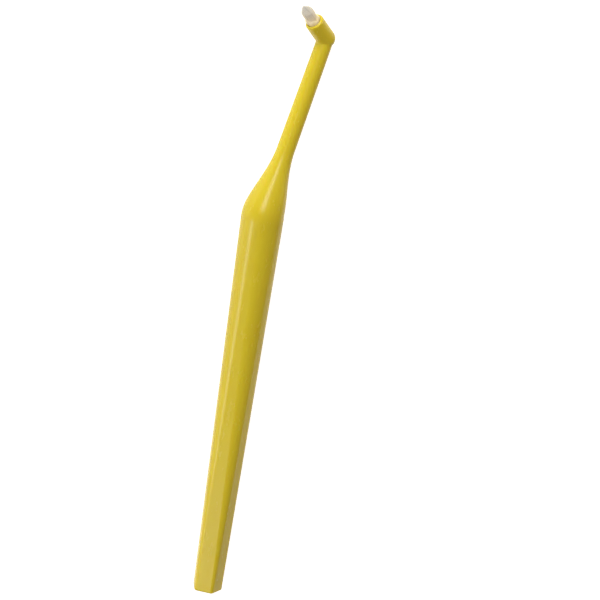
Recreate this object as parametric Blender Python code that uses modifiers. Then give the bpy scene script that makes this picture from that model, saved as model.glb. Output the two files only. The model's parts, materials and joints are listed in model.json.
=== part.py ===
"""Single tuft toothbrush: a moulded handle with a bent neck and a small head, its folded tuft and the anchor.

The pieces are made in the brush's own axes: +Y runs along the grip from its flat end towards the head, and +Z
is the side that the tuft faces. The brush then lies on one of the grip's flat sides, on the plane z = 0.
"""

import math

import bmesh
import bpy
from mathutils import Euler, Vector

# Grip, a rounded pentagon at its end that turns into a circle at the shoulder
GRIP_SIDES = 5
GRIP_LENGTH = 0.1103
END_CORNER_CIRCLE_RADIUS = 0.00336
END_CORNER_RADIUS = 0.00087
END_EDGE_RADIUS = 0.00055
GRIP_TOP_RADIUS = 0.00592

# Shoulder, coaxial with the neck, which leans back from the grip
SHOULDER_LENGTH = 0.0204
SHOULDER_BEND_RADIUS = 0.0102
SHOULDER_DROP_SHARE = 0.90
NECK_BACK_ANGLE = math.radians(15.0)

# Neck, from the shoulder's end to the middle of the elbow
NECK_LENGTH = 0.0322
NECK_ROOT_RADIUS = 0.00254
NECK_TIP_RADIUS = 0.00231

# Head, a short rod with a round back, which leans forward to the tuft's side
HEAD_FORWARD_ANGLE = math.radians(45.0)
HEAD_LENGTH = 0.0076
HEAD_WALL = 0.00093
RIM_EDGE_RADIUS = 0.00055
MOUTH_WALL = 0.00062
MOUTH_DEPTH = 0.0009

# Anchor, a flat metal plate driven across the tuft hole
ANCHOR_THICKNESS = 0.0002
ANCHOR_HEIGHT = 0.0013
ANCHOR_DEPTH = 0.0021
ANCHOR_BITE = 0.0003
ANCHOR_EDGE_RADIUS = 0.00002

# Tuft, rows of folded filaments on both sides of the anchor
FILAMENT_DIAMETER = 0.00024
FILAMENT_GAP = 0.00004
FILAMENTS_IN_ROWS = (12, 11, 10, 9, 8, 5)
TUFT_HEIGHT = 0.0067
BUD_RADIUS = 0.00176
BUD_SIDE_HEIGHT = 0.0045
BUD_WIDEST_HEIGHT = 0.0033
BUD_TIP_POWER = 1.25
COLLAR_RADIUS = 0.00215
COLLAR_HEIGHT = 0.0012
COLLAR_BAND_SHARE = 0.85

# Clearances and the overrun of cutters
FIT_GAP = 0.00003
CUT_OVERRUN = 0.001
MERGE_DISTANCE = 0.000001

# Counts of faces and rings
CORNER_STEPS = 9
END_EDGE_STEPS = 4
GRIP_RINGS = 6
SHOULDER_RINGS = 13
NECK_RINGS = 5
TURNED_STEPS = 48
ROUND_STEPS = 5
BACK_STEPS = 9
FOLD_STEPS = 4

# Sizes that follow from the ones above
corner_pitch = math.tau / GRIP_SIDES
half_flat_angle = corner_pitch / (2 * CORNER_STEPS)
filament_pitch = FILAMENT_DIAMETER + FILAMENT_GAP
filament_radius = FILAMENT_DIAMETER / 2
row_pitch = filament_pitch * math.sqrt(3) / 2
first_row = ANCHOR_THICKNESS / 2 + FIT_GAP + filament_radius
last_row = first_row + row_pitch * (len(FILAMENTS_IN_ROWS) - 1)
closing_shift = first_row - filament_pitch / 2
fold_depth = ANCHOR_DEPTH + ANCHOR_HEIGHT


def row_places(row):
    """Places of one row's filaments: across the tuft, and out from the anchor."""
    count = FILAMENTS_IN_ROWS[row]
    out = first_row + row * row_pitch
    return [(filament_pitch * (column - (count - 1) / 2), out) for column in range(count)]


filament_places = [place for row in range(len(FILAMENTS_IN_ROWS)) for place in row_places(row)]
bundle_radius = max(math.hypot(across, out) for across, out in filament_places)
collar_from = bundle_radius - COLLAR_BAND_SHARE * filament_pitch
bud_places = [place for place in filament_places if math.hypot(*place) <= collar_from]
bud_edge = max(math.hypot(across, out - closing_shift) for across, out in bud_places)
hole_radius = bundle_radius + filament_radius + FIT_GAP
hole_depth = fold_depth + last_row + filament_radius + FIT_GAP
head_radius = hole_radius + HEAD_WALL
mouth_radius = head_radius - MOUTH_WALL


# Scene and shared helpers


def clear_scene():
    for old in list(bpy.data.objects):
        bpy.data.objects.remove(old, do_unlink=True)


def new_collection(name):
    collection = bpy.data.collections.new(name)
    bpy.context.scene.collection.children.link(collection)
    return collection


def new_material(name, colour, roughness, metallic=0.0):
    material = bpy.data.materials.new(name)
    material.use_nodes = True
    shader = material.node_tree.nodes["Principled BSDF"]
    shader.inputs["Base Color"].default_value = (*colour, 1.0)
    shader.inputs["Roughness"].default_value = roughness
    shader.inputs["Metallic"].default_value = metallic
    return material


def new_empty(name, location, rotation, order, collection, parent=None):
    empty = bpy.data.objects.new(name, None)
    empty.rotation_mode = order
    empty.rotation_euler = rotation
    empty.location = location
    empty.parent = parent
    collection.objects.link(empty)
    return empty


def add_object(name, data, collection, parent, material=None):
    obj = bpy.data.objects.new(name, data)
    if material:
        data.materials.append(material)
    obj.parent = parent
    collection.objects.link(obj)
    return obj


def mark_as_cutter(obj):
    obj.hide_render = True
    obj.display_type = "WIRE"


def add_boolean(obj, tool, operation):
    modifier = obj.modifiers.new(tool.name, "BOOLEAN")
    modifier.operation = operation
    modifier.solver = "EXACT"
    modifier.object = tool


def turned_object(name, profile, collection, parent):
    """A solid turned about its own Z from a profile that runs down its outer side."""
    mesh = bpy.data.meshes.new(name)
    points = [(radius, 0.0, height) for radius, height in profile]
    mesh.from_pydata(points, [(i, i + 1) for i in range(len(points) - 1)], [])
    obj = add_object(name, mesh, collection, parent)
    screw = obj.modifiers.new("turn", "SCREW")
    screw.steps = TURNED_STEPS
    screw.render_steps = TURNED_STEPS
    screw.use_merge_vertices = True
    screw.merge_threshold = MERGE_DISTANCE
    screw.use_smooth_shade = True
    return obj


def box_object(name, size, height, collection, parent, material=None):
    """A box of the given size whose middle is at a height on its parent's Z."""
    mesh = bpy.data.meshes.new(name)
    shape = bmesh.new()
    bmesh.ops.create_cube(shape, size=1.0)
    bmesh.ops.scale(shape, vec=size, verts=shape.verts)
    shape.to_mesh(mesh)
    shape.free()
    obj = add_object(name, mesh, collection, parent, material)
    obj.location = (0, 0, height)
    return obj


def ease(share):
    """A smooth step from 0 to 1, level at both ends."""
    share = min(max(share, 0.0), 1.0)
    return share * share * (3 - 2 * share)


# The spine of the handle and its sections


def grip_section(along):
    """Circle that the corners' centres lie on, and the corners' radius, at a place along the grip."""
    share = along / GRIP_LENGTH
    circle = END_CORNER_CIRCLE_RADIUS * (1 - share)
    corner = END_CORNER_RADIUS + (GRIP_TOP_RADIUS - END_CORNER_RADIUS) * share
    return circle, corner


def flat_distance(along):
    """Distance from the grip's axis to its flat sides at a place along the grip."""
    circle, corner = grip_section(along)
    return circle * math.cos(corner_pitch / 2) + corner * math.cos(half_flat_angle)


def neck_radius(along):
    """Radius of the round section at a distance past the grip."""
    if along < SHOULDER_LENGTH:
        drop = (1 + math.cos(math.pi * (along / SHOULDER_LENGTH) ** SHOULDER_DROP_SHARE)) / 2
        return NECK_ROOT_RADIUS + (GRIP_TOP_RADIUS - NECK_ROOT_RADIUS) * drop
    share = (along - SHOULDER_LENGTH) / NECK_LENGTH
    return NECK_ROOT_RADIUS + (NECK_TIP_RADIUS - NECK_ROOT_RADIUS) * share


def spine_point(along):
    """Middle of the section at a distance past the grip, and the angle that it leans back there."""
    angle = min(along / SHOULDER_BEND_RADIUS, NECK_BACK_ANGLE)
    straight = max(along - SHOULDER_BEND_RADIUS * NECK_BACK_ANGLE, 0.0)
    forward = GRIP_LENGTH + SHOULDER_BEND_RADIUS * math.sin(angle) + straight * math.cos(angle)
    back = SHOULDER_BEND_RADIUS * (1 - math.cos(angle)) + straight * math.sin(angle)
    return Vector((0.0, forward, -back)), angle


def section_ring(middle, lean, circle, corner):
    """Points around one section, square to a spine that leans back by an angle."""
    up = Vector((0.0, math.sin(lean), math.cos(lean)))
    across = Vector((1.0, 0.0, 0.0))
    points = []
    for side in range(GRIP_SIDES):
        for step in range(CORNER_STEPS):
            centre_angle = side * corner_pitch
            angle = centre_angle - corner_pitch / 2 + corner_pitch * (step + 0.5) / CORNER_STEPS
            out_up = circle * math.cos(centre_angle) + corner * math.cos(angle)
            out_across = circle * math.sin(centre_angle) + corner * math.sin(angle)
            points.append(middle + up * out_up + across * out_across)
    return points


def handle_rings():
    rings = []
    for step in range(END_EDGE_STEPS):
        angle = math.pi / 2 * step / END_EDGE_STEPS
        along = END_EDGE_RADIUS * (1 - math.cos(angle))
        circle, corner = grip_section(along)
        corner -= END_EDGE_RADIUS * (1 - math.sin(angle))
        rings.append(section_ring(Vector((0.0, along, 0.0)), 0.0, circle, corner))
    for step in range(GRIP_RINGS):
        along = END_EDGE_RADIUS + (GRIP_LENGTH - END_EDGE_RADIUS) * step / GRIP_RINGS
        rings.append(section_ring(Vector((0.0, along, 0.0)), 0.0, *grip_section(along)))
    shoulder = [SHOULDER_LENGTH * step / SHOULDER_RINGS for step in range(SHOULDER_RINGS)]
    neck = [SHOULDER_LENGTH + NECK_LENGTH * step / NECK_RINGS for step in range(NECK_RINGS + 1)]
    for along in shoulder + neck:
        middle, lean = spine_point(along)
        rings.append(section_ring(middle, lean, 0.0, neck_radius(along)))
    return rings


# The pieces


def make_handle(parts, cutters, brush_axes, head_axes, plastic):
    mesh = bpy.data.meshes.new("handle")
    shape = bmesh.new()
    rings = [[shape.verts.new(point) for point in ring] for ring in handle_rings()]
    count = GRIP_SIDES * CORNER_STEPS
    for lower, upper in zip(rings, rings[1:]):
        for i in range(count):
            j = (i + 1) % count
            shape.faces.new((lower[i], lower[j], upper[j], upper[i]))
    shape.faces.new(rings[0])
    shape.faces.new(rings[-1])
    bmesh.ops.recalc_face_normals(shape, faces=shape.faces)
    shape.to_mesh(mesh)
    shape.free()
    handle = add_object("handle", mesh, parts, brush_axes, plastic)

    add_boolean(handle, head_form(cutters, head_axes), "UNION")
    add_boolean(handle, tuft_hole(cutters, head_axes), "DIFFERENCE")
    add_boolean(handle, anchor_slot(cutters, head_axes), "DIFFERENCE")
    mesh.shade_smooth()
    mesh.set_sharp_from_angle(angle=math.radians(35.0))
    return handle


def head_form(cutters, head_axes):
    """The rod of the head with its rounded rim and round back, which the neck runs into."""
    profile = [(0.0, 0.0)]
    for step in range(ROUND_STEPS + 1):
        angle = math.pi / 2 * step / ROUND_STEPS
        radius = head_radius - RIM_EDGE_RADIUS * (1 - math.sin(angle))
        profile.append((radius, -RIM_EDGE_RADIUS * (1 - math.cos(angle))))
    for step in range(BACK_STEPS):
        angle = math.pi / 2 * step / BACK_STEPS
        profile.append((head_radius * math.cos(angle), -HEAD_LENGTH - head_radius * math.sin(angle)))
    profile.append((0.0, -HEAD_LENGTH - head_radius))
    obj = turned_object("head_form", profile, cutters, head_axes)
    mark_as_cutter(obj)
    return obj


def tuft_hole(cutters, head_axes):
    """The blind hole for the tuft, with a mouth that opens towards the rim."""
    profile = [
        (0.0, CUT_OVERRUN),
        (mouth_radius, CUT_OVERRUN),
        (mouth_radius, 0.0),
        (hole_radius, -MOUTH_DEPTH),
        (hole_radius, -hole_depth),
        (0.0, -hole_depth),
    ]
    obj = turned_object("tuft_hole", profile, cutters, head_axes)
    mark_as_cutter(obj)
    return obj


def anchor_slot(cutters, head_axes):
    """The slot that the anchor's two ends have pressed into the hole's wall."""
    size = (
        2 * (hole_radius + ANCHOR_BITE + FIT_GAP),
        ANCHOR_THICKNESS + 2 * FIT_GAP,
        ANCHOR_HEIGHT + 2 * FIT_GAP,
    )
    obj = box_object("anchor_slot", size, -ANCHOR_DEPTH - ANCHOR_HEIGHT / 2, cutters, head_axes)
    mark_as_cutter(obj)
    return obj


def make_anchor(parts, head_axes, metal):
    size = (2 * (hole_radius + ANCHOR_BITE), ANCHOR_THICKNESS, ANCHOR_HEIGHT)
    anchor = box_object("anchor", size, -ANCHOR_DEPTH - ANCHOR_HEIGHT / 2, parts, head_axes, metal)
    edge = anchor.modifiers.new("edge", "BEVEL")
    edge.width = ANCHOR_EDGE_RADIUS
    edge.segments = 1
    return anchor


def collar_reach(height):
    """Radius of the outermost filaments' middles: along the mouth's wall, then out to the collar's edge."""
    widening = mouth_radius - hole_radius
    if height < 0.0:
        return bundle_radius + widening * max(1 + height / MOUTH_DEPTH, 0.0)
    at_rim = bundle_radius + widening
    return at_rim + (COLLAR_RADIUS - filament_radius - at_rim) * height / COLLAR_HEIGHT


def leg_place(across, out, height):
    """Where a filament's leg is at a height over the rim: it closes up over the anchor, then spreads."""
    in_bud = (across, out) in bud_places
    out -= closing_shift * ease((height + ANCHOR_DEPTH) / (ANCHOR_DEPTH - MOUTH_DEPTH))
    radius = math.hypot(across, out)
    spread = ease((height + MOUTH_DEPTH) / (BUD_WIDEST_HEIGHT + MOUTH_DEPTH))
    scale = 1 + ((BUD_RADIUS - filament_radius) / bud_edge - 1) * spread
    if not in_bud:
        share = max(radius - bud_edge, 0.0) / (bundle_radius - bud_edge)
        scale += (collar_reach(height) - bundle_radius * scale) * share / radius
    return Vector((across * scale, out * scale, height))


def bud_height(across, out):
    """Height over the rim that a filament of the bud is trimmed to, for the bud's round point."""
    reach = min(math.hypot(across, out - closing_shift) / bud_edge, 1.0)
    return BUD_SIDE_HEIGHT + (TUFT_HEIGHT - BUD_SIDE_HEIGHT) * (1 - reach ** BUD_TIP_POWER)


def leg_points(across, out):
    """One leg's points, from its free end down to where the fold starts."""
    if (across, out) in bud_places:
        heights = [bud_height(across, out), BUD_WIDEST_HEIGHT, BUD_WIDEST_HEIGHT / 4]
    else:
        heights = [COLLAR_HEIGHT, 0.0]
    heights += [-MOUTH_DEPTH, -ANCHOR_DEPTH]
    points = [leg_place(across, out, height) for height in heights]
    points.append(Vector((across, out, -fold_depth)))
    return points


def filament_points(across, out):
    """The whole folded filament: down one leg, round under the anchor and up the other leg."""
    near = leg_points(across, out)
    fold = []
    for step in range(1, FOLD_STEPS):
        angle = math.pi * step / FOLD_STEPS
        fold.append(Vector((across, out * math.cos(angle), -fold_depth - out * math.sin(angle))))
    far = [Vector((point.x, -point.y, point.z)) for point in reversed(near)]
    return near + fold + far


def make_filament(name, points, parts, head_axes, nylon):
    curve = bpy.data.curves.new(name, "CURVE")
    curve.dimensions = "3D"
    curve.bevel_depth = filament_radius
    curve.bevel_resolution = 1
    curve.use_fill_caps = True
    spline = curve.splines.new("POLY")
    spline.points.add(len(points) - 1)
    for spline_point, point in zip(spline.points, points):
        spline_point.co = (*point, 1.0)
        spline_point.radius = 1.0
    spline.use_smooth = True
    return add_object(name, curve, parts, head_axes, nylon)


def make_tuft(parts, head_axes, nylon):
    for number, place in enumerate(filament_places, start=1):
        make_filament(f"filament_{number:02d}", filament_points(*place), parts, head_axes, nylon)


# The resting pose, on the flat side next to the one behind the tuft


def rest_pose():
    """Turn and place of the brush's axes that lay a flat side level, its middle at the origin."""
    rise = flat_distance(GRIP_LENGTH) - flat_distance(0.0)
    tilt = math.atan2(rise, GRIP_LENGTH)
    roll = -corner_pitch
    turn = Euler((tilt, roll, 0.0), "YXZ")
    flat_angle = -1.5 * corner_pitch
    flat_normal = Vector((math.sin(flat_angle), 0.0, math.cos(flat_angle)))
    middle = Vector((0.0, GRIP_LENGTH / 2, 0.0)) + flat_normal * flat_distance(GRIP_LENGTH / 2)
    return turn, -(turn.to_matrix() @ middle)


def main():
    clear_scene()
    parts = new_collection("single_tuft_toothbrush")
    cutters = new_collection("cutters")

    plastic = new_material("yellow_plastic", (0.60, 0.46, 0.04), 0.32)
    nylon = new_material("nylon", (0.66, 0.58, 0.44), 0.45)
    metal = new_material("anchor_brass", (0.75, 0.56, 0.28), 0.35, metallic=1.0)

    turn, place = rest_pose()
    brush_axes = new_empty("brush_axes", place, turn, "YXZ", parts)
    elbow, _ = spine_point(SHOULDER_LENGTH + NECK_LENGTH)
    head_along = Vector((0.0, math.cos(HEAD_FORWARD_ANGLE), math.sin(HEAD_FORWARD_ANGLE)))
    head_turn = (HEAD_FORWARD_ANGLE - math.pi / 2, 0.0, 0.0)
    head_axes = new_empty("head_axes", elbow + head_along * HEAD_LENGTH, head_turn, "XYZ", parts, brush_axes)

    make_handle(parts, cutters, brush_axes, head_axes, plastic)
    make_anchor(parts, head_axes, metal)
    make_tuft(parts, head_axes, nylon)


main()
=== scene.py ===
"""Looks of the single tuft toothbrush: a smooth moulded handle, a tuft of fine strands, and a studio."""

import json
import math
import random

import bmesh
import bpy
from mathutils import Matrix, Vector


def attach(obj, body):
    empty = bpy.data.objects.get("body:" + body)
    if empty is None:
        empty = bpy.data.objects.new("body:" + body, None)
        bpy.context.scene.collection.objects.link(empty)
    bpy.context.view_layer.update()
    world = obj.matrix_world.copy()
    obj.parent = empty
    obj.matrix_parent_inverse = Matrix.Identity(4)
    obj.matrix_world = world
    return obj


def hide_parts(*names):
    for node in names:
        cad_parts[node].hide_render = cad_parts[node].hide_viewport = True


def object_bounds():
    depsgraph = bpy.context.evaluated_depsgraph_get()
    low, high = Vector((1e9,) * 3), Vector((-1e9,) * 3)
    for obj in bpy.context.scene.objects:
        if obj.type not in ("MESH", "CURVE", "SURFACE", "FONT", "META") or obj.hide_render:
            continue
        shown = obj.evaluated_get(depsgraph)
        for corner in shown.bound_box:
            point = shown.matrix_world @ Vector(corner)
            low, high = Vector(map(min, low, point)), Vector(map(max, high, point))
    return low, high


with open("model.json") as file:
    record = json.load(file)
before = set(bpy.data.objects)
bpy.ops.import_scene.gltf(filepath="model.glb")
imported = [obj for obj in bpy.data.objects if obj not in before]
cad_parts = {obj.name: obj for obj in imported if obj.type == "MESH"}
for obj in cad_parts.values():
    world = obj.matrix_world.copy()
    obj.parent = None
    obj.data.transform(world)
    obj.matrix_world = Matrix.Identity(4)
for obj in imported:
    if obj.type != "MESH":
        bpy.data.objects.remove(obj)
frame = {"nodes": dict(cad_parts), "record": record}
cad_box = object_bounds()

# Handle, as in the construction: a rounded pentagon that turns into a circle, a shoulder, a neck and a head
GRIP_SIDES = 5
GRIP_LENGTH = 0.1103
END_CORNER_CIRCLE_RADIUS = 0.00336
END_CORNER_RADIUS = 0.00087
END_EDGE_RADIUS = 0.00055
GRIP_TOP_RADIUS = 0.00592
SHOULDER_LENGTH = 0.0204
SHOULDER_BEND_RADIUS = 0.0102
SHOULDER_DROP_SHARE = 0.90
NECK_BACK_ANGLE = math.radians(15.0)
NECK_LENGTH = 0.0322
NECK_ROOT_RADIUS = 0.00254
NECK_TIP_RADIUS = 0.00231
HEAD_FORWARD_ANGLE = math.radians(45.0)
HEAD_LENGTH = 0.0076
HEAD_WALL = 0.00093
RIM_EDGE_RADIUS = 0.00055
MOUTH_WALL = 0.00062
MOUTH_DEPTH = 0.0009
SHARP_ANGLE = math.radians(30.0)

# Inner corner where the neck runs into the head, which is rounded by a few passes over the points near it
CREASE_REACH = 0.00035
CREASE_ANGLE = math.radians(18.0)
CREASE_PASSES = 8
CREASE_BLEND_SHARE = 0.5
CREASE_SEARCH_SHARE = 3.0
BESIDE_HOLE_SHARE = 1.1

# Tuft, in the construction's places
ANCHOR_THICKNESS = 0.0002
ANCHOR_HEIGHT = 0.0013
ANCHOR_DEPTH = 0.0021
FILAMENT_DIAMETER = 0.00024
FILAMENT_GAP = 0.00004
FILAMENTS_IN_ROWS = (12, 11, 10, 9, 8, 5)
TUFT_HEIGHT = 0.0067
BUD_RADIUS = 0.00176
BUD_SIDE_HEIGHT = 0.0045
BUD_WIDEST_HEIGHT = 0.0033
BUD_TIP_POWER = 1.25
COLLAR_RADIUS = 0.00215
COLLAR_HEIGHT = 0.0012
COLLAR_BAND_SHARE = 0.85
FIT_GAP = 0.00003

# Fine strands, a few in the place of each folded filament
STRAND_DIAMETER = 0.00015
STRANDS_IN_BUD = 3
STRANDS_IN_COLLAR = 4
STRAND_WANDER = 0.00004
TRIM_WANDER = 0.00006
COLLAR_SLANT = 0.0004
COLLAR_BEVEL = 0.0005
TIP_ANGLES = [math.radians(angle) for angle in (15, 40, 65, 90)]
STRAND_SEED = 7

# Yellow plastic: its colour between flow marks, and how deep its marks and its light go
PLASTIC_DEEP = (0.57, 0.436, 0.016)
PLASTIC_PALE = (0.63, 0.495, 0.023)
PEEL_DEPTH = 0.00002
SCRATCH_DEPTH = 0.000004
PLASTIC_LIGHT_DEPTH = 0.002
PLASTIC_LIGHT_SPREAD = (1.0, 0.65, 0.15)

# Nylon: its colour at shares of the tuft's height, with painted light in it: a warm painted bounce from the
# yellow rim low down and greyer painted shade towards the tip; and a faint painted glow that stands in for
# light that strands pass on
NYLON_BOUNCE_AND_SHADE = [
    (0.1, (1.0, 0.86, 0.58)),
    (0.35, (0.96, 0.84, 0.66)),
    (0.6, (0.86, 0.78, 0.66)),
    (0.9, (0.78, 0.74, 0.68)),
]
STRAND_DARKEST = (0.82, 0.82, 0.82)
STRAND_LIGHTEST = (0.98, 0.98, 0.98)
NYLON_PAINTED_GLOW = 0.08
NYLON_LIGHT_DEPTH = 0.0004
NYLON_LIGHT_SPREAD = (1.0, 0.85, 0.65)

# Brass of the anchor
BRASS_DARK = (0.56, 0.40, 0.16)
BRASS_LIGHT = (0.78, 0.60, 0.30)
DRAWING_MARK_DEPTH = 0.000004

# Camera, from the photograph: its angles to the brush, and a place on the grip's axis with its pixel
FRAME_PIXELS = 600
PIXELS_PER_METRE = 3619
AIM_ALONG = 0.085
AIM_PIXEL = (249.37, 303.69)
VIEW_LEAN = math.radians(18.28)
VIEW_AROUND = math.radians(47.54)
VIEW_ROLL = math.radians(8.72)
CAMERA_DISTANCE = 2.0

# Studio: the floor and the world glow more to the camera than to the brush, so the background stays white
FLOOR_HALF_WIDTH = 1.0
FLOOR_DARK = (0.70, 0.66, 0.56)
FLOOR_LIGHT = (0.74, 0.70, 0.60)
FLOOR_GLOW = 0.44
FLOOR_GLOW_SEEN = 0.85
WORLD_GLOW = 0.20
WORLD_GLOW_SEEN = 1.3
WHITE = (1.0, 1.0, 1.0)
WORLD_COLOUR = (1.0, 0.91, 0.80)
TOP_COLOUR = (0.94, 1.0, 0.97)
FILL_COLOUR = (1.0, 0.92, 0.80)
EDGE_COLOUR = (1.0, 0.84, 0.64)
NEAR_LIGHT_ALONG = 0.01
FACET_LIGHT_ALONG = 0.012
NEAR_LIGHT_DISTANCE = 0.35
FACET_LIGHT_DISTANCE = 0.2
FAR_LIGHT_DISTANCE = 0.9
NEAR_LIGHT_SIZE = 0.25
FACET_LIGHT_SIZE = 0.06
SIDE_LIGHT_SIZE = 0.28
BROAD_LIGHT_SIZE = 0.4

# Counts of faces and rings
CORNER_STEPS = 26
END_EDGE_STEPS = 8
GRIP_RINGS = 60
SHOULDER_RINGS = 70
NECK_RINGS = 130
TURNED_STEPS = 128
HEAD_RINGS = 48
ROUND_STEPS = 10
BACK_STEPS = 30
MOUTH_RINGS = 4
BUD_LEG_STEPS = 12
COLLAR_LEG_STEPS = 8
FOLD_STEPS = 12
STRAND_BEVEL_STEPS = 2

corner_pitch = math.tau / GRIP_SIDES
filament_pitch = FILAMENT_DIAMETER + FILAMENT_GAP
filament_radius = FILAMENT_DIAMETER / 2
strand_offset = filament_pitch / 3
row_pitch = filament_pitch * math.sqrt(3) / 2
first_row = ANCHOR_THICKNESS / 2 + FIT_GAP + filament_radius
last_row = first_row + row_pitch * (len(FILAMENTS_IN_ROWS) - 1)
closing_shift = first_row - filament_pitch / 2
fold_depth = ANCHOR_DEPTH + ANCHOR_HEIGHT


def row_places(row):
    """Where one row's filaments stand, across the anchor and out from it."""
    count = FILAMENTS_IN_ROWS[row]
    out = first_row + row * row_pitch
    return [(filament_pitch * (column - (count - 1) / 2), out) for column in range(count)]


filament_places = [place for row in range(len(FILAMENTS_IN_ROWS)) for place in row_places(row)]
bundle_radius = max(math.hypot(across, out) for across, out in filament_places)
collar_from = bundle_radius - COLLAR_BAND_SHARE * filament_pitch
bud_places = [place for place in filament_places if math.hypot(*place) <= collar_from]
bud_edge = max(math.hypot(across, out - closing_shift) for across, out in bud_places)
hole_radius = bundle_radius + filament_radius + FIT_GAP
hole_depth = fold_depth + last_row + filament_radius + FIT_GAP
head_radius = hole_radius + HEAD_WALL
mouth_radius = head_radius - MOUTH_WALL


def ease(share):
    """A share from 0 to 1 that starts and ends gently."""
    share = min(max(share, 0.0), 1.0)
    return share * share * (3 - 2 * share)


# Axes of the brush and of its head


def brush_matrix():
    """Axes with +Y along the grip from its end face and +Z to the tuft's side."""
    end = next(m for m in frame["record"]["mounts"] if m["name"] == "handle_end")
    along = -Vector(end["axis"]).normalized()
    side = along.cross(Vector((0.0, 0.0, 1.0))).normalized()
    up = side.cross(along)
    level = Matrix((side, along, up)).transposed().to_4x4()
    return Matrix.Translation(end["pos_m"]) @ level @ Matrix.Rotation(-corner_pitch, 4, "Y")


def spine_point(along):
    """Middle of the section at a distance past the grip, and the angle that it leans back there."""
    angle = min(along / SHOULDER_BEND_RADIUS, NECK_BACK_ANGLE)
    straight = max(along - SHOULDER_BEND_RADIUS * NECK_BACK_ANGLE, 0.0)
    forward = GRIP_LENGTH + SHOULDER_BEND_RADIUS * math.sin(angle) + straight * math.cos(angle)
    back = SHOULDER_BEND_RADIUS * (1 - math.cos(angle)) + straight * math.sin(angle)
    return Vector((0.0, forward, -back)), angle


brush_axes = brush_matrix()
elbow = spine_point(SHOULDER_LENGTH + NECK_LENGTH)[0]
head_along = Vector((0.0, math.cos(HEAD_FORWARD_ANGLE), math.sin(HEAD_FORWARD_ANGLE)))
head_turn = Matrix.Rotation(HEAD_FORWARD_ANGLE - math.pi / 2, 4, "X")
head_axes = brush_axes @ Matrix.Translation(elbow + head_along * HEAD_LENGTH) @ head_turn


def add_object(name, data):
    obj = bpy.data.objects.new(name, data)
    bpy.context.scene.collection.objects.link(obj)
    return obj


# Materials


class Nodes:
    """A material's node tree, with short calls to add nodes and join them."""

    def __init__(self, name):
        self.material = bpy.data.materials.new(name)
        self.material.use_nodes = True
        self.tree = self.material.node_tree
        self.shader = self.tree.nodes["Principled BSDF"]
        self.place = self.tree.nodes.new("ShaderNodeTexCoord").outputs["Object"]

    def link(self, output, socket):
        self.tree.links.new(output, socket)

    def noise(self, scale, squeeze=(1.0, 1.0, 1.0), detail=3.0, roughness=0.5):
        """Noise with a scale per metre. A small squeeze along an axis draws it out into streaks there."""
        mapping = self.tree.nodes.new("ShaderNodeMapping")
        mapping.inputs["Scale"].default_value = squeeze
        self.link(self.place, mapping.inputs["Vector"])
        node = self.tree.nodes.new("ShaderNodeTexNoise")
        node.inputs["Scale"].default_value = scale
        node.inputs["Detail"].default_value = detail
        node.inputs["Roughness"].default_value = roughness
        self.link(mapping.outputs["Vector"], node.inputs["Vector"])
        return node.outputs["Fac"]

    def ramp(self, value, stops):
        """A colour that follows a value through stops, each a position and a colour."""
        node = self.tree.nodes.new("ShaderNodeValToRGB")
        elements = node.color_ramp.elements
        while len(elements) < len(stops):
            elements.new(0.5)
        for element, (position, colour) in zip(elements, stops):
            element.position = position
            element.color = (*colour, 1.0)
        self.link(value, node.inputs["Fac"])
        return node.outputs["Color"]

    def between(self, value, low, high):
        """A value from 0 to 1 turned into one between two ends."""
        node = self.tree.nodes.new("ShaderNodeMapRange")
        node.inputs["To Min"].default_value = low
        node.inputs["To Max"].default_value = high
        self.link(value, node.inputs["Value"])
        return node.outputs["Result"]

    def bump(self, height, distance, strength, below=None):
        node = self.tree.nodes.new("ShaderNodeBump")
        node.inputs["Distance"].default_value = distance
        node.inputs["Strength"].default_value = strength
        self.link(height, node.inputs["Height"])
        if below:
            self.link(below, node.inputs["Normal"])
        return node.outputs["Normal"]


def plastic_material():
    """Yellow plastic that lets some light in, with faint flow marks, fine scratches and a soft gloss."""
    nodes = Nodes("yellow_plastic_look")
    shader = nodes.shader
    flow = nodes.noise(scale=90.0, squeeze=(1.0, 0.12, 1.0), detail=4.0)
    nodes.link(nodes.ramp(flow, [(0.3, PLASTIC_DEEP), (0.7, PLASTIC_PALE)]), shader.inputs["Base Color"])
    haze = nodes.noise(scale=500.0, squeeze=(1.0, 0.3, 1.0), detail=5.0, roughness=0.65)
    nodes.link(nodes.between(haze, low=0.20, high=0.32), shader.inputs["Roughness"])
    scratches = nodes.noise(scale=2600.0, squeeze=(1.0, 0.02, 1.0), detail=2.0)
    orange_peel = nodes.noise(scale=1100.0, detail=1.0)
    soft = nodes.bump(orange_peel, PEEL_DEPTH, strength=0.25)
    scratched = nodes.bump(scratches, SCRATCH_DEPTH, strength=0.25, below=soft)
    nodes.link(scratched, shader.inputs["Normal"])
    shader.inputs["IOR"].default_value = 1.49
    shader.inputs["Specular IOR Level"].default_value = 0.45
    shader.inputs["Subsurface Weight"].default_value = 0.45
    shader.inputs["Subsurface Radius"].default_value = PLASTIC_LIGHT_SPREAD
    shader.inputs["Subsurface Scale"].default_value = PLASTIC_LIGHT_DEPTH
    return nodes.material


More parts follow.
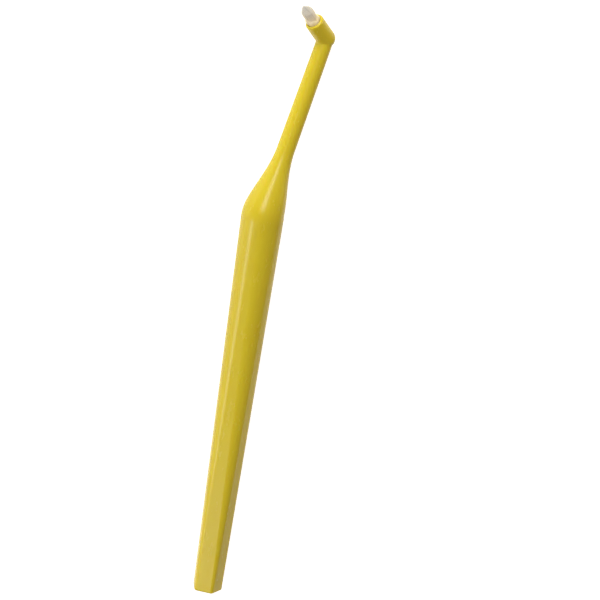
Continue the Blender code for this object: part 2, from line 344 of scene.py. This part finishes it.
def nylon_material():
    """Off-white nylon, a little different from strand to strand, with painted warm bounce light low down by
    the yellow rim, painted shade towards the tip, and a faint painted glow.
    """
    nodes = Nodes("nylon_look")
    shader = nodes.shader
    each = nodes.tree.nodes.new("ShaderNodeNewGeometry").outputs["Random Per Island"]
    shade = nodes.ramp(each, [(0.0, STRAND_DARKEST), (1.0, STRAND_LIGHTEST)])
    height = nodes.tree.nodes.new("ShaderNodeSeparateXYZ")
    nodes.link(nodes.place, height.inputs["Vector"])
    upward = nodes.between(height.outputs["Z"], low=0.0, high=1.0)
    upward.node.inputs["From Max"].default_value = TUFT_HEIGHT
    # Painted light by height: a warm painted bounce from the yellow rim low down, greyer painted shade
    # towards the tip
    rim_bounce_and_tip_shade = nodes.ramp(upward, NYLON_BOUNCE_AND_SHADE)
    colour = nodes.tree.nodes.new("ShaderNodeMix")
    colour.data_type = "RGBA"
    colour.blend_type = "MULTIPLY"
    colour.inputs["Factor"].default_value = 1.0
    nodes.link(rim_bounce_and_tip_shade, colour.inputs["A"])
    nodes.link(shade, colour.inputs["B"])
    nodes.link(colour.outputs["Result"], shader.inputs["Base Color"])
    # The same colour again as a faint painted glow, which stands in for light that the strands pass on
    nodes.link(colour.outputs["Result"], shader.inputs["Emission Color"])
    shader.inputs["Emission Strength"].default_value = NYLON_PAINTED_GLOW
    wear = nodes.noise(scale=4000.0, detail=3.0)
    nodes.link(nodes.between(wear, low=0.3, high=0.5), shader.inputs["Roughness"])
    shader.inputs["IOR"].default_value = 1.53
    shader.inputs["Subsurface Weight"].default_value = 0.6
    shader.inputs["Subsurface Radius"].default_value = NYLON_LIGHT_SPREAD
    shader.inputs["Subsurface Scale"].default_value = NYLON_LIGHT_DEPTH
    return nodes.material


def brass_material():
    """Flat brass wire with drawing marks along it."""
    nodes = Nodes("anchor_brass_look")
    shader = nodes.shader
    marks = nodes.noise(scale=9000.0, squeeze=(0.05, 1.0, 1.0), detail=3.0)
    nodes.link(nodes.ramp(marks, [(0.3, BRASS_DARK), (0.7, BRASS_LIGHT)]), shader.inputs["Base Color"])
    nodes.link(nodes.between(marks, low=0.25, high=0.5), shader.inputs["Roughness"])
    nodes.link(nodes.bump(marks, DRAWING_MARK_DEPTH, strength=0.4), shader.inputs["Normal"])
    shader.inputs["Metallic"].default_value = 1.0
    return nodes.material


# Handle


def grip_section(along):
    """Circle that the corners' centres lie on, and the corners' radius, at a distance from the flat end."""
    share = along / GRIP_LENGTH
    circle = END_CORNER_CIRCLE_RADIUS * (1 - share)
    corner = END_CORNER_RADIUS + (GRIP_TOP_RADIUS - END_CORNER_RADIUS) * share
    return circle, corner


def neck_radius(along):
    """Radius of the round section past the grip: the shoulder's drop, then the neck's taper."""
    if along < SHOULDER_LENGTH:
        drop = (1 + math.cos(math.pi * (along / SHOULDER_LENGTH) ** SHOULDER_DROP_SHARE)) / 2
        return NECK_ROOT_RADIUS + (GRIP_TOP_RADIUS - NECK_ROOT_RADIUS) * drop
    share = (along - SHOULDER_LENGTH) / NECK_LENGTH
    return NECK_ROOT_RADIUS + (NECK_TIP_RADIUS - NECK_ROOT_RADIUS) * share


def section_ring(middle, lean, circle, corner):
    """Points around one section, square to a spine that leans back by an angle."""
    up = Vector((0.0, math.sin(lean), math.cos(lean)))
    across = Vector((1.0, 0.0, 0.0))
    points = []
    for side in range(GRIP_SIDES):
        for step in range(CORNER_STEPS):
            centre_angle = side * corner_pitch
            angle = centre_angle - corner_pitch / 2 + corner_pitch * (step + 0.5) / CORNER_STEPS
            out_up = circle * math.cos(centre_angle) + corner * math.cos(angle)
            out_across = circle * math.sin(centre_angle) + corner * math.sin(angle)
            points.append(middle + up * out_up + across * out_across)
    return points


def handle_rings():
    """Sections from the rounded edge of the flat end, over grip and shoulder, to the end of the neck."""
    rings = []
    for step in range(END_EDGE_STEPS):
        angle = math.pi / 2 * step / END_EDGE_STEPS
        along = END_EDGE_RADIUS * (1 - math.cos(angle))
        circle, corner = grip_section(along)
        corner -= END_EDGE_RADIUS * (1 - math.sin(angle))
        rings.append(section_ring(Vector((0.0, along, 0.0)), 0.0, circle, corner))
    for step in range(GRIP_RINGS):
        along = END_EDGE_RADIUS + (GRIP_LENGTH - END_EDGE_RADIUS) * step / GRIP_RINGS
        rings.append(section_ring(Vector((0.0, along, 0.0)), 0.0, *grip_section(along)))
    shoulder = [SHOULDER_LENGTH * step / SHOULDER_RINGS for step in range(SHOULDER_RINGS)]
    neck = [SHOULDER_LENGTH + NECK_LENGTH * step / NECK_RINGS for step in range(NECK_RINGS + 1)]
    for along in shoulder + neck:
        middle, lean = spine_point(along)
        rings.append(section_ring(middle, lean, 0.0, neck_radius(along)))
    return rings


def lofted_mesh(name, rings, matrix):
    """A skin over rings of points, closed by a flat face at both ends."""
    shape = bmesh.new()
    made = [[shape.verts.new(matrix @ point) for point in ring] for ring in rings]
    count = len(rings[0])
    for lower, upper in zip(made, made[1:]):
        for i in range(count):
            j = (i + 1) % count
            shape.faces.new((lower[i], lower[j], upper[j], upper[i]))
    shape.faces.new(made[0])
    shape.faces.new(made[-1])
    bmesh.ops.recalc_face_normals(shape, faces=shape.faces)
    mesh = bpy.data.meshes.new(name)
    shape.to_mesh(mesh)
    shape.free()
    return mesh


def head_profile():
    """Radius and height of the head, from its hole's bottom over the rim and down to its round back."""
    profile = [(hole_radius, -hole_depth), (hole_radius, -MOUTH_DEPTH)]
    for step in range(1, MOUTH_RINGS + 1):
        share = step / MOUTH_RINGS
        profile.append((hole_radius + (mouth_radius - hole_radius) * share, -MOUTH_DEPTH * (1 - share)))
    for step in range(ROUND_STEPS + 1):
        angle = math.pi / 2 * step / ROUND_STEPS
        radius = head_radius - RIM_EDGE_RADIUS * (1 - math.sin(angle))
        profile.append((radius, -RIM_EDGE_RADIUS * (1 - math.cos(angle))))
    for step in range(1, HEAD_RINGS):
        height = -RIM_EDGE_RADIUS - (HEAD_LENGTH - RIM_EDGE_RADIUS) * step / HEAD_RINGS
        profile.append((head_radius, height))
    for step in range(BACK_STEPS):
        angle = math.pi / 2 * step / BACK_STEPS
        profile.append((head_radius * math.cos(angle), -HEAD_LENGTH - head_radius * math.sin(angle)))
    return profile


def head_mesh():
    """The head's profile turned about its axis, with the blind hole in it."""
    turns = [math.tau * step / TURNED_STEPS for step in range(TURNED_STEPS)]
    rings = []
    for radius, height in head_profile():
        rings.append([Vector((radius * math.cos(turn), radius * math.sin(turn), height)) for turn in turns])
    return lofted_mesh("head_form", rings, head_axes)


def on_low_skin(place):
    """Whether a place in the head's axes is low on the outer skin, and not on the hole's wall."""
    beside_hole = math.hypot(*place.xy) > hole_radius * BESIDE_HOLE_SHARE
    under_hole = place.z < -hole_depth - FIT_GAP
    return place.z < -hole_depth / 2 and (beside_hole or under_hole)


def soften_crease(mesh):
    """Rounds the inner corner where the neck runs into the head."""
    shape = bmesh.new()
    shape.from_mesh(mesh)
    to_head = head_axes.inverted()
    crease = set()
    for edge in shape.edges:
        on_skin = all(on_low_skin(to_head @ vert.co) for vert in edge.verts)
        if on_skin and edge.is_manifold and edge.calc_face_angle() > CREASE_ANGLE:
            crease.update(edge.verts)
    points = [vert.co.copy() for vert in crease]
    search = CREASE_SEARCH_SHARE * head_radius
    near = []
    for vert in shape.verts:
        place = to_head @ vert.co
        if abs(place.z + HEAD_LENGTH) < search and math.hypot(*place.xy) < search:
            if any((vert.co - point).length < CREASE_REACH for point in points):
                near.append(vert)
    for _ in range(CREASE_PASSES):
        bmesh.ops.smooth_vert(shape, verts=near, factor=CREASE_BLEND_SHARE,
                              use_axis_x=True, use_axis_y=True, use_axis_z=True)
    shape.to_mesh(mesh)
    shape.free()


def make_handle():
    """The grip, shoulder and neck joined with the head into one smooth moulding."""
    handle = add_object("handle_body", lofted_mesh("handle_body", handle_rings(), brush_axes))
    head = add_object("head_form", head_mesh())
    union = handle.modifiers.new("union", "BOOLEAN")
    union.operation = "UNION"
    union.solver = "EXACT"
    union.object = head
    bpy.context.view_layer.update()
    joined = bpy.data.meshes.new_from_object(handle.evaluated_get(bpy.context.evaluated_depsgraph_get()))
    handle.modifiers.clear()
    handle.data = joined
    bpy.data.objects.remove(head)
    soften_crease(joined)
    joined.shade_smooth()
    joined.set_sharp_from_angle(angle=SHARP_ANGLE)
    weighted = handle.modifiers.new("even_normals", "WEIGHTED_NORMAL")
    weighted.keep_sharp = True
    joined.materials.clear()
    joined.materials.append(plastic_material())
    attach(handle, "root")
    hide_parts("handle")


# Tuft


def collar_reach(height):
    """Radius of the outermost filaments' middle: along the mouth's wall, then out to the collar's edge."""
    if height < 0.0:
        return bundle_radius + (mouth_radius - hole_radius) * max(1 + height / MOUTH_DEPTH, 0.0)
    at_rim = bundle_radius + mouth_radius - hole_radius
    return at_rim + (COLLAR_RADIUS - filament_radius - at_rim) * min(height / COLLAR_HEIGHT, 1.0)


def leg_place(across, out, height, in_bud):
    """Where a strand is at a height over the rim: it closes up above the anchor, then spreads."""
    out -= closing_shift * ease((height + ANCHOR_DEPTH) / (ANCHOR_DEPTH - MOUTH_DEPTH))
    radius = math.hypot(across, out)
    spread = ease((height + MOUTH_DEPTH) / (BUD_WIDEST_HEIGHT + MOUTH_DEPTH))
    scale = 1 + ((BUD_RADIUS - filament_radius) / bud_edge - 1) * spread
    if not in_bud:
        share = max(radius - bud_edge, 0.0) / (bundle_radius - bud_edge)
        scale += (collar_reach(height) - bundle_radius * scale) * share / radius
    return Vector((across * scale, out * scale, height))


def bud_height(across, out):
    """Height over the rim that the bud is trimmed to at a place, for its round point."""
    reach = min(math.hypot(across, out - closing_shift) / bud_edge, 1.0)
    return BUD_SIDE_HEIGHT + (TUFT_HEIGHT - BUD_SIDE_HEIGHT) * (1 - reach ** BUD_TIP_POWER)


def collar_height(across, out, side):
    """Height over the rim that the collar is trimmed to: lower outwards and towards the head's back."""
    reach = (math.hypot(across, out - closing_shift) - collar_from) / (bundle_radius - collar_from)
    bevel = COLLAR_BEVEL * (min(reach, 1.0) - 0.5)
    return COLLAR_HEIGHT - bevel - COLLAR_SLANT * side * out / bundle_radius


def strand_leg(across, out, side, in_bud, draw):
    """One leg's points with their widths, from its rounded free end to where the fold starts."""
    top = bud_height(across, out) if in_bud else collar_height(across, out, side)
    top -= TRIM_WANDER * draw.random()
    radius = STRAND_DIAMETER / 2
    steps = BUD_LEG_STEPS if in_bud else COLLAR_LEG_STEPS
    heights = [top - radius * (1 - math.cos(angle)) for angle in TIP_ANGLES]
    widths = [math.sin(angle) for angle in TIP_ANGLES]
    rest = [top - radius - (top - radius + fold_depth) * step / steps for step in range(1, steps + 1)]
    heights += rest
    widths += [1.0] * len(rest)
    sway = (draw.uniform(-1, 1), draw.uniform(-1, 1))
    points = []
    for height in heights:
        point = leg_place(across, out, height, in_bud)
        lift = STRAND_WANDER * ease((height + MOUTH_DEPTH) / (TUFT_HEIGHT + MOUTH_DEPTH))
        points.append(point + Vector((sway[0] * lift, sway[1] * lift, 0.0)))
    return points, widths


def strand_points(across, out, in_bud, draw):
    """A folded strand: down one leg, round under the anchor, and up the other leg."""
    out = max(out, ANCHOR_THICKNESS / 2 + FIT_GAP + STRAND_DIAMETER / 2)
    near, widths = strand_leg(across, out, 1, in_bud, draw)
    fold = []
    for step in range(1, FOLD_STEPS):
        angle = math.pi * step / FOLD_STEPS
        fold.append(Vector((across, out * math.cos(angle), -fold_depth - out * math.sin(angle))))
    far, far_widths = strand_leg(across, out, -1, in_bud, draw)
    far = [Vector((point.x, -point.y, point.z)) for point in reversed(far)]
    return near + fold + far, widths + [1.0] * len(fold) + far_widths[::-1]


def make_filament(name, across, out, nylon, draw):
    """Fine strands in the place of one folded filament."""
    curve = bpy.data.curves.new(name + "_strands", "CURVE")
    curve.dimensions = "3D"
    curve.bevel_depth = STRAND_DIAMETER / 2
    curve.bevel_resolution = STRAND_BEVEL_STEPS
    curve.use_fill_caps = True
    in_bud = (across, out) in bud_places
    count = STRANDS_IN_BUD if in_bud else STRANDS_IN_COLLAR
    for turn in range(count):
        angle = math.pi + turn * math.tau / count
        place = (across + strand_offset * math.cos(angle), out + strand_offset * math.sin(angle))
        points, widths = strand_points(*place, in_bud, draw)
        spline = curve.splines.new("POLY")
        spline.points.add(len(points) - 1)
        for spline_point, point, width in zip(spline.points, points, widths):
            spline_point.co = (*point, 1.0)
            spline_point.radius = width
        spline.use_smooth = True
    curve.materials.append(nylon)
    strands = add_object(name + "_strands", curve)
    strands.matrix_world = head_axes
    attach(strands, "root")
    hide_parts(name)


def make_tuft():
    nylon = nylon_material()
    draw = random.Random(STRAND_SEED)
    for number, (across, out) in enumerate(filament_places, start=1):
        make_filament(f"filament_{number:02d}", across, out, nylon, draw)


def dress_anchor():
    anchor = frame["nodes"]["anchor"]
    anchor.data.materials.clear()
    anchor.data.materials.append(brass_material())


# Studio


def make_floor():
    """White paper that the brush lies on, warm in what it reflects on to the brush."""
    half = FLOOR_HALF_WIDTH
    mesh = bpy.data.meshes.new("floor")
    corners = [(-half, -half, 0), (half, -half, 0), (half, half, 0), (-half, half, 0)]
    mesh.from_pydata(corners, [], [(0, 1, 2, 3)])
    floor = add_object("floor", mesh)
    nodes = Nodes("floor_paper")
    shader = nodes.shader
    grain = nodes.noise(scale=700.0, detail=4.0)
    nodes.link(nodes.ramp(grain, [(0.0, FLOOR_DARK), (1.0, FLOOR_LIGHT)]), shader.inputs["Base Color"])
    shader.inputs["Roughness"].default_value = 0.9
    shader.inputs["Emission Color"].default_value = (*WHITE, 1.0)
    seen = nodes.tree.nodes.new("ShaderNodeLightPath").outputs["Is Camera Ray"]
    nodes.link(nodes.between(seen, FLOOR_GLOW, FLOOR_GLOW_SEEN), shader.inputs["Emission Strength"])
    mesh.materials.append(nodes.material)


def make_world():
    """A warm even surrounding that lights the brush a little."""
    world = bpy.data.worlds.new("studio")
    bpy.context.scene.world = world
    world.use_nodes = True
    tree = world.node_tree
    background = tree.nodes["Background"]
    seen = tree.nodes.new("ShaderNodeLightPath")
    strength = tree.nodes.new("ShaderNodeMapRange")
    strength.inputs["To Min"].default_value = WORLD_GLOW
    strength.inputs["To Max"].default_value = WORLD_GLOW_SEEN
    tree.links.new(seen.outputs["Is Camera Ray"], strength.inputs["Value"])
    tree.links.new(strength.outputs["Result"], background.inputs["Strength"])
    background.inputs["Color"].default_value = (*WORLD_COLOUR, 1.0)


def light_place(aim, left, above, distance):
    """A place seen from the brush at angles in degrees to the left of the camera and above it."""
    right, up, back = camera_axes()
    leftward = math.radians(left)
    upward = math.radians(above)
    level = back * math.cos(leftward) - right * math.sin(leftward)
    return aim + (level * math.cos(upward) + up * math.sin(upward)) * distance


def add_light(name, aim, place, size, power, colour=WHITE, mirrored=True):
    """A round lamp that faces its aim. One that isn't mirrored lights the brush without a highlight."""
    light = bpy.data.lights.new(name, "AREA")
    light.shape = "DISK"
    light.size = size
    light.energy = power
    light.color = colour
    lamp = add_object(name, light)
    lamp.location = place
    lamp.rotation_mode = "QUATERNION"
    lamp.rotation_quaternion = (aim - place).to_track_quat("-Z", "Y")
    lamp.visible_glossy = mirrored


def add_lights():
    """Two low lamps near the grip's flat end, and five further ones about the brush's middle.

    The near lamp isn't mirrored, so that the wide flat side keeps an even shade.
    """
    middle = (cad_box[0] + cad_box[1]) / 2
    low = brush_axes @ Vector((0.0, NEAR_LIGHT_ALONG, 0.0))
    butt = brush_axes @ Vector((0.0, FACET_LIGHT_ALONG, 0.0))
    near = light_place(low, left=33, above=-28, distance=NEAR_LIGHT_DISTANCE)
    facet = light_place(butt, left=34, above=-34, distance=FACET_LIGHT_DISTANCE)
    side = light_place(middle, left=62, above=-23, distance=FAR_LIGHT_DISTANCE)
    front = light_place(middle, left=5, above=12, distance=FAR_LIGHT_DISTANCE)
    top = light_place(middle, left=5, above=45, distance=FAR_LIGHT_DISTANCE)
    fill = light_place(middle, left=-38, above=38, distance=FAR_LIGHT_DISTANCE)
    edge = light_place(middle, left=-90, above=10, distance=FAR_LIGHT_DISTANCE)
    add_light("near_light", low, near, NEAR_LIGHT_SIZE, power=0.26, mirrored=False)
    add_light("facet_light", butt, facet, FACET_LIGHT_SIZE, power=0.022)
    add_light("side_light", middle, side, SIDE_LIGHT_SIZE, power=1.0)
    add_light("front_light", middle, front, BROAD_LIGHT_SIZE, power=2.1)
    add_light("top_light", middle, top, BROAD_LIGHT_SIZE, power=5.2, colour=TOP_COLOUR)
    add_light("fill_light", middle, fill, BROAD_LIGHT_SIZE, power=0.6, colour=FILL_COLOUR)
    add_light("edge_light", middle, edge, BROAD_LIGHT_SIZE, power=1.6, colour=EDGE_COLOUR)


def camera_axes():
    """Right, up and back of the camera, from the photograph's angles to the brush."""
    along = brush_axes.to_3x3() @ Vector((0.0, 1.0, 0.0))
    tuft_side = brush_axes.to_3x3() @ Vector((0.0, 0.0, 1.0))
    side = brush_axes.to_3x3() @ Vector((1.0, 0.0, 0.0))
    around = tuft_side * math.cos(VIEW_AROUND) + side * math.sin(VIEW_AROUND)
    back = along * math.sin(VIEW_LEAN) + around * math.cos(VIEW_LEAN)
    upright = (along - back * along.dot(back)).normalized()
    sideways = upright.cross(back)
    up = upright * math.cos(VIEW_ROLL) - sideways * math.sin(VIEW_ROLL)
    return up.cross(back), up, back


def make_camera():
    right, up, back = camera_axes()
    aim = brush_axes @ Vector((0.0, AIM_ALONG, 0.0))
    aim += right * (FRAME_PIXELS / 2 - AIM_PIXEL[0]) / PIXELS_PER_METRE
    aim += up * (AIM_PIXEL[1] - FRAME_PIXELS / 2) / PIXELS_PER_METRE
    data = bpy.data.cameras.new("camera")
    data.lens = data.sensor_width * CAMERA_DISTANCE * PIXELS_PER_METRE / FRAME_PIXELS
    camera = add_object("camera", data)
    pose = Matrix((right, up, back)).transposed().to_4x4()
    pose.translation = aim + back * CAMERA_DISTANCE
    camera.matrix_world = pose
    bpy.context.scene.camera = camera


def make_studio():
    make_floor()
    add_lights()
    make_world()
    bpy.context.scene.view_settings.view_transform = "Standard"


make_camera()
make_studio()
make_handle()
make_tuft()
dress_anchor()
